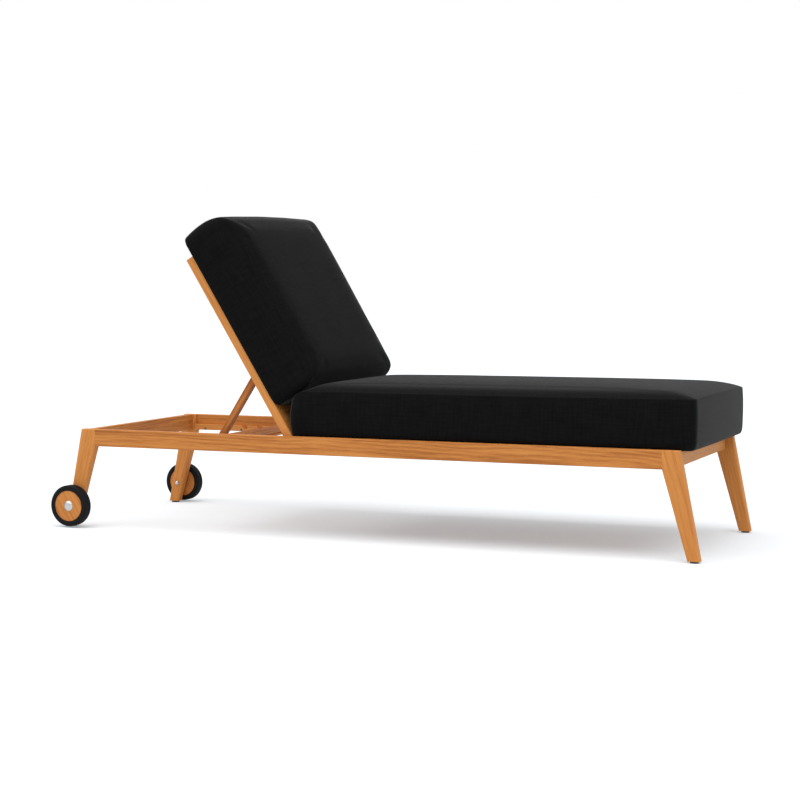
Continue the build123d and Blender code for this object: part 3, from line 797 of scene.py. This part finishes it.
def make_weave_group():
    """A plain weave on UV in metres, with uneven threads and a faint mottle.

    With a = sin(pi u) and b = sin(pi v) counted in threads, the warp stands at (|a| + ab) / 2
    and the weft at (|b| - ab) / 2, so each is on top where the other dips. Slubs are a noise
    drawn out along each thread, and streaks a slower one.
    """
    group, s, given, result = new_group(
        "plain_weave",
        [("Vector", "NodeSocketVector", None), ("Threads", "NodeSocketFloat", THREADS),
         ("Dark", "NodeSocketColor", FABRIC_DARK), ("Light", "NodeSocketColor", FABRIC_LIGHT)],
        [("Color", "NodeSocketColor"), ("Roughness", "NodeSocketFloat"),
         ("Height", "NodeSocketFloat")])
    wander = s.add("TexNoise", {"Vector": given["Vector"], "Scale": WANDER_WAVES, "Detail": 1.0},
                   out=1)
    wander = s.add("VectorMath", wander, NOISE_MIDDLE, operation="SUBTRACT")
    wander = s.add("VectorMath", wander, {"Scale": WANDER_REACH}, operation="SCALE")
    place = s.add("VectorMath", given["Vector"], wander, operation="ADD")
    counted = s.add("VectorMath", place, {"Scale": given["Threads"]}, operation="SCALE")
    parts = s.tree.nodes.new("ShaderNodeSeparateXYZ")
    s.set(parts.inputs[0], counted)
    a = s.math("SINE", s.math("MULTIPLY", parts.outputs[0], math.pi))
    b = s.math("SINE", s.math("MULTIPLY", parts.outputs[1], math.pi))
    both = s.math("MULTIPLY", a, b)
    warp = s.math("ADD", s.math("ABSOLUTE", a), both)
    weft = s.math("SUBTRACT", s.math("ABSOLUTE", b), both)
    height = s.math("MULTIPLY", s.math("MAXIMUM", warp, weft), 0.5)
    on_top = s.math("GREATER_THAN", warp, weft)

    def both_ways(waves, detail):
        """A noise drawn out along V and one drawn out along U."""
        drawn = []
        for stretch in ((*waves, 0.0), (*waves[::-1], 0.0)):
            where = s.add("VectorMath", place, stretch, operation="MULTIPLY")
            drawn.append(s.add("TexNoise", {"Vector": where, "Scale": 1.0, "Detail": detail}))
        return drawn

    slubs = both_ways(SLUB_WAVES, 2.0)
    thread = s.add("Mix", {0: on_top, 2: slubs[1], 3: slubs[0]})
    streak = s.math("ADD", *both_ways(STREAK_WAVES, 3.0))
    mottle = s.add("TexNoise", {"Vector": place, "Scale": MOTTLE_WAVES, "Detail": 4.0,
                                "Roughness": 0.6})
    tone = s.math("MULTIPLY_ADD", thread, THREAD_TONE, s.math("MULTIPLY", mottle, MOTTLE_TONE))
    tone = s.math("MULTIPLY_ADD", streak, STREAK_TONE, s.math("SUBTRACT", tone, TONE_LESS))
    tone = s.math("MULTIPLY_ADD", height, WEAVE_TONE, tone, clamp=True)
    s.set(result["Color"], s.mix(tone, given["Dark"], given["Light"]))
    rough = s.math("MULTIPLY_ADD", thread, THREAD_ROUGH, CLOTH_ROUGH)
    s.set(result["Roughness"], rough)
    high = s.math("MULTIPLY_ADD", thread, THREAD_HEIGHT, height)
    s.set(result["Height"], s.math("MULTIPLY_ADD", streak, STREAK_HEIGHT, high))
    return group


def fabric():
    """Dark woven outdoor cloth."""
    material, s, principled = new_material("charcoal_cloth")
    where = s.add("TexCoord", out="UV")
    weave = place_group(s, make_weave_group(), Vector=where)
    s.set(principled.inputs["Base Color"], weave["Color"])
    s.set(principled.inputs["Roughness"], weave["Roughness"])
    bump = s.add("Bump", {**CLOTH_BUMP, "Height": weave["Height"]})
    s.set(principled.inputs["Normal"], bump)
    principled.inputs["Specular IOR Level"].default_value = CLOTH_SPECULAR
    principled.inputs["Sheen Weight"].default_value = CLOTH_SHEEN
    principled.inputs["Sheen Roughness"].default_value = SHEEN_ROUGH
    return material


def make_cushions():
    """Both cushions in the same cloth."""
    cloth = fabric()
    for piece in (seat_cushion(), back_cushion()):
        piece.data.materials.append(cloth)


# Camera, light and stage

def set_camera():
    """The photograph's camera."""
    data = bpy.data.cameras.new("camera")
    data.lens = CAMERA_LENS
    data.sensor_width = CAMERA_SENSOR
    data.clip_end = CAMERA_SEES_TO
    camera = bpy.data.objects.new("camera", data)
    bpy.context.scene.collection.objects.link(camera)
    right = Vector((math.cos(CAMERA_YAW), math.sin(CAMERA_YAW), 0.0))
    ahead = Vector((-math.sin(CAMERA_YAW) * math.cos(CAMERA_PITCH),
                    math.cos(CAMERA_YAW) * math.cos(CAMERA_PITCH), -math.sin(CAMERA_PITCH)))
    up = right.cross(ahead)
    right, up = (right * math.cos(CAMERA_ROLL) + up * math.sin(CAMERA_ROLL),
                 up * math.cos(CAMERA_ROLL) - right * math.sin(CAMERA_ROLL))
    turn = Matrix((right, up, -ahead)).transposed().to_4x4()
    camera.matrix_world = Matrix.Translation(CAMERA_PLACE) @ turn
    bpy.context.scene.camera = camera


def seen_directly(s):
    """1 where a ray from the camera, a reflection or a refraction meets the surface."""
    path = s.tree.nodes.new("ShaderNodeLightPath").outputs
    seen = s.math("MAXIMUM", path["Is Camera Ray"], path["Is Glossy Ray"])
    return s.math("MAXIMUM", seen, path["Is Transmission Ray"])


def set_light():
    """A level white surround and two broad lamps, with a white background for the camera."""
    world = bpy.data.worlds.new("surround")
    world.use_nodes = True
    s = Shader(world.node_tree)
    background = world.node_tree.nodes["Background"]
    strength = s.add("MapRange", {"Value": seen_directly(s), "To Min": SKY_STRENGTH,
                                  "To Max": 1.0})
    background.inputs["Color"].default_value = WHITE
    s.set(background.inputs["Strength"], strength)
    bpy.context.scene.world = world
    for name, (strength, side) in LAMPS.items():
        data = bpy.data.lights.new(name, "SUN")
        data.energy = strength
        data.angle = LAMP_WIDTH
        lamp = bpy.data.objects.new(name, data)
        bpy.context.scene.collection.objects.link(lamp)
        lamp.rotation_euler = (LAMP_TILT, side, 0.0)


def set_stage():
    """A wide floor that looks white and keeps the soft shadow."""
    mesh = bpy.data.meshes.new("floor")
    signs = ((-1, -1), (1, -1), (1, 1), (-1, 1))
    corners = [(x * FLOOR_HALF, y * FLOOR_HALF, 0.0) for x, y in signs]
    mesh.from_pydata(corners, [], [(0, 1, 2, 3)])
    floor = bpy.data.objects.new("floor", mesh)
    bpy.context.scene.collection.objects.link(floor)
    material, s, principled = new_material("floor_white")
    principled.inputs["Base Color"].default_value = FLOOR_COLOUR
    principled.inputs["Roughness"].default_value = FLOOR_ROUGH
    principled.inputs["Specular IOR Level"].default_value = 0.0
    principled.inputs["Emission Color"].default_value = FLOOR_LIFT
    s.set(principled.inputs["Emission Strength"], seen_directly(s))
    mesh.materials.append(material)


set_camera()
set_light()
set_stage()
finish_teak()
finish_fittings()
make_cushions()

bpy.context.scene.view_settings.view_transform = "Standard"
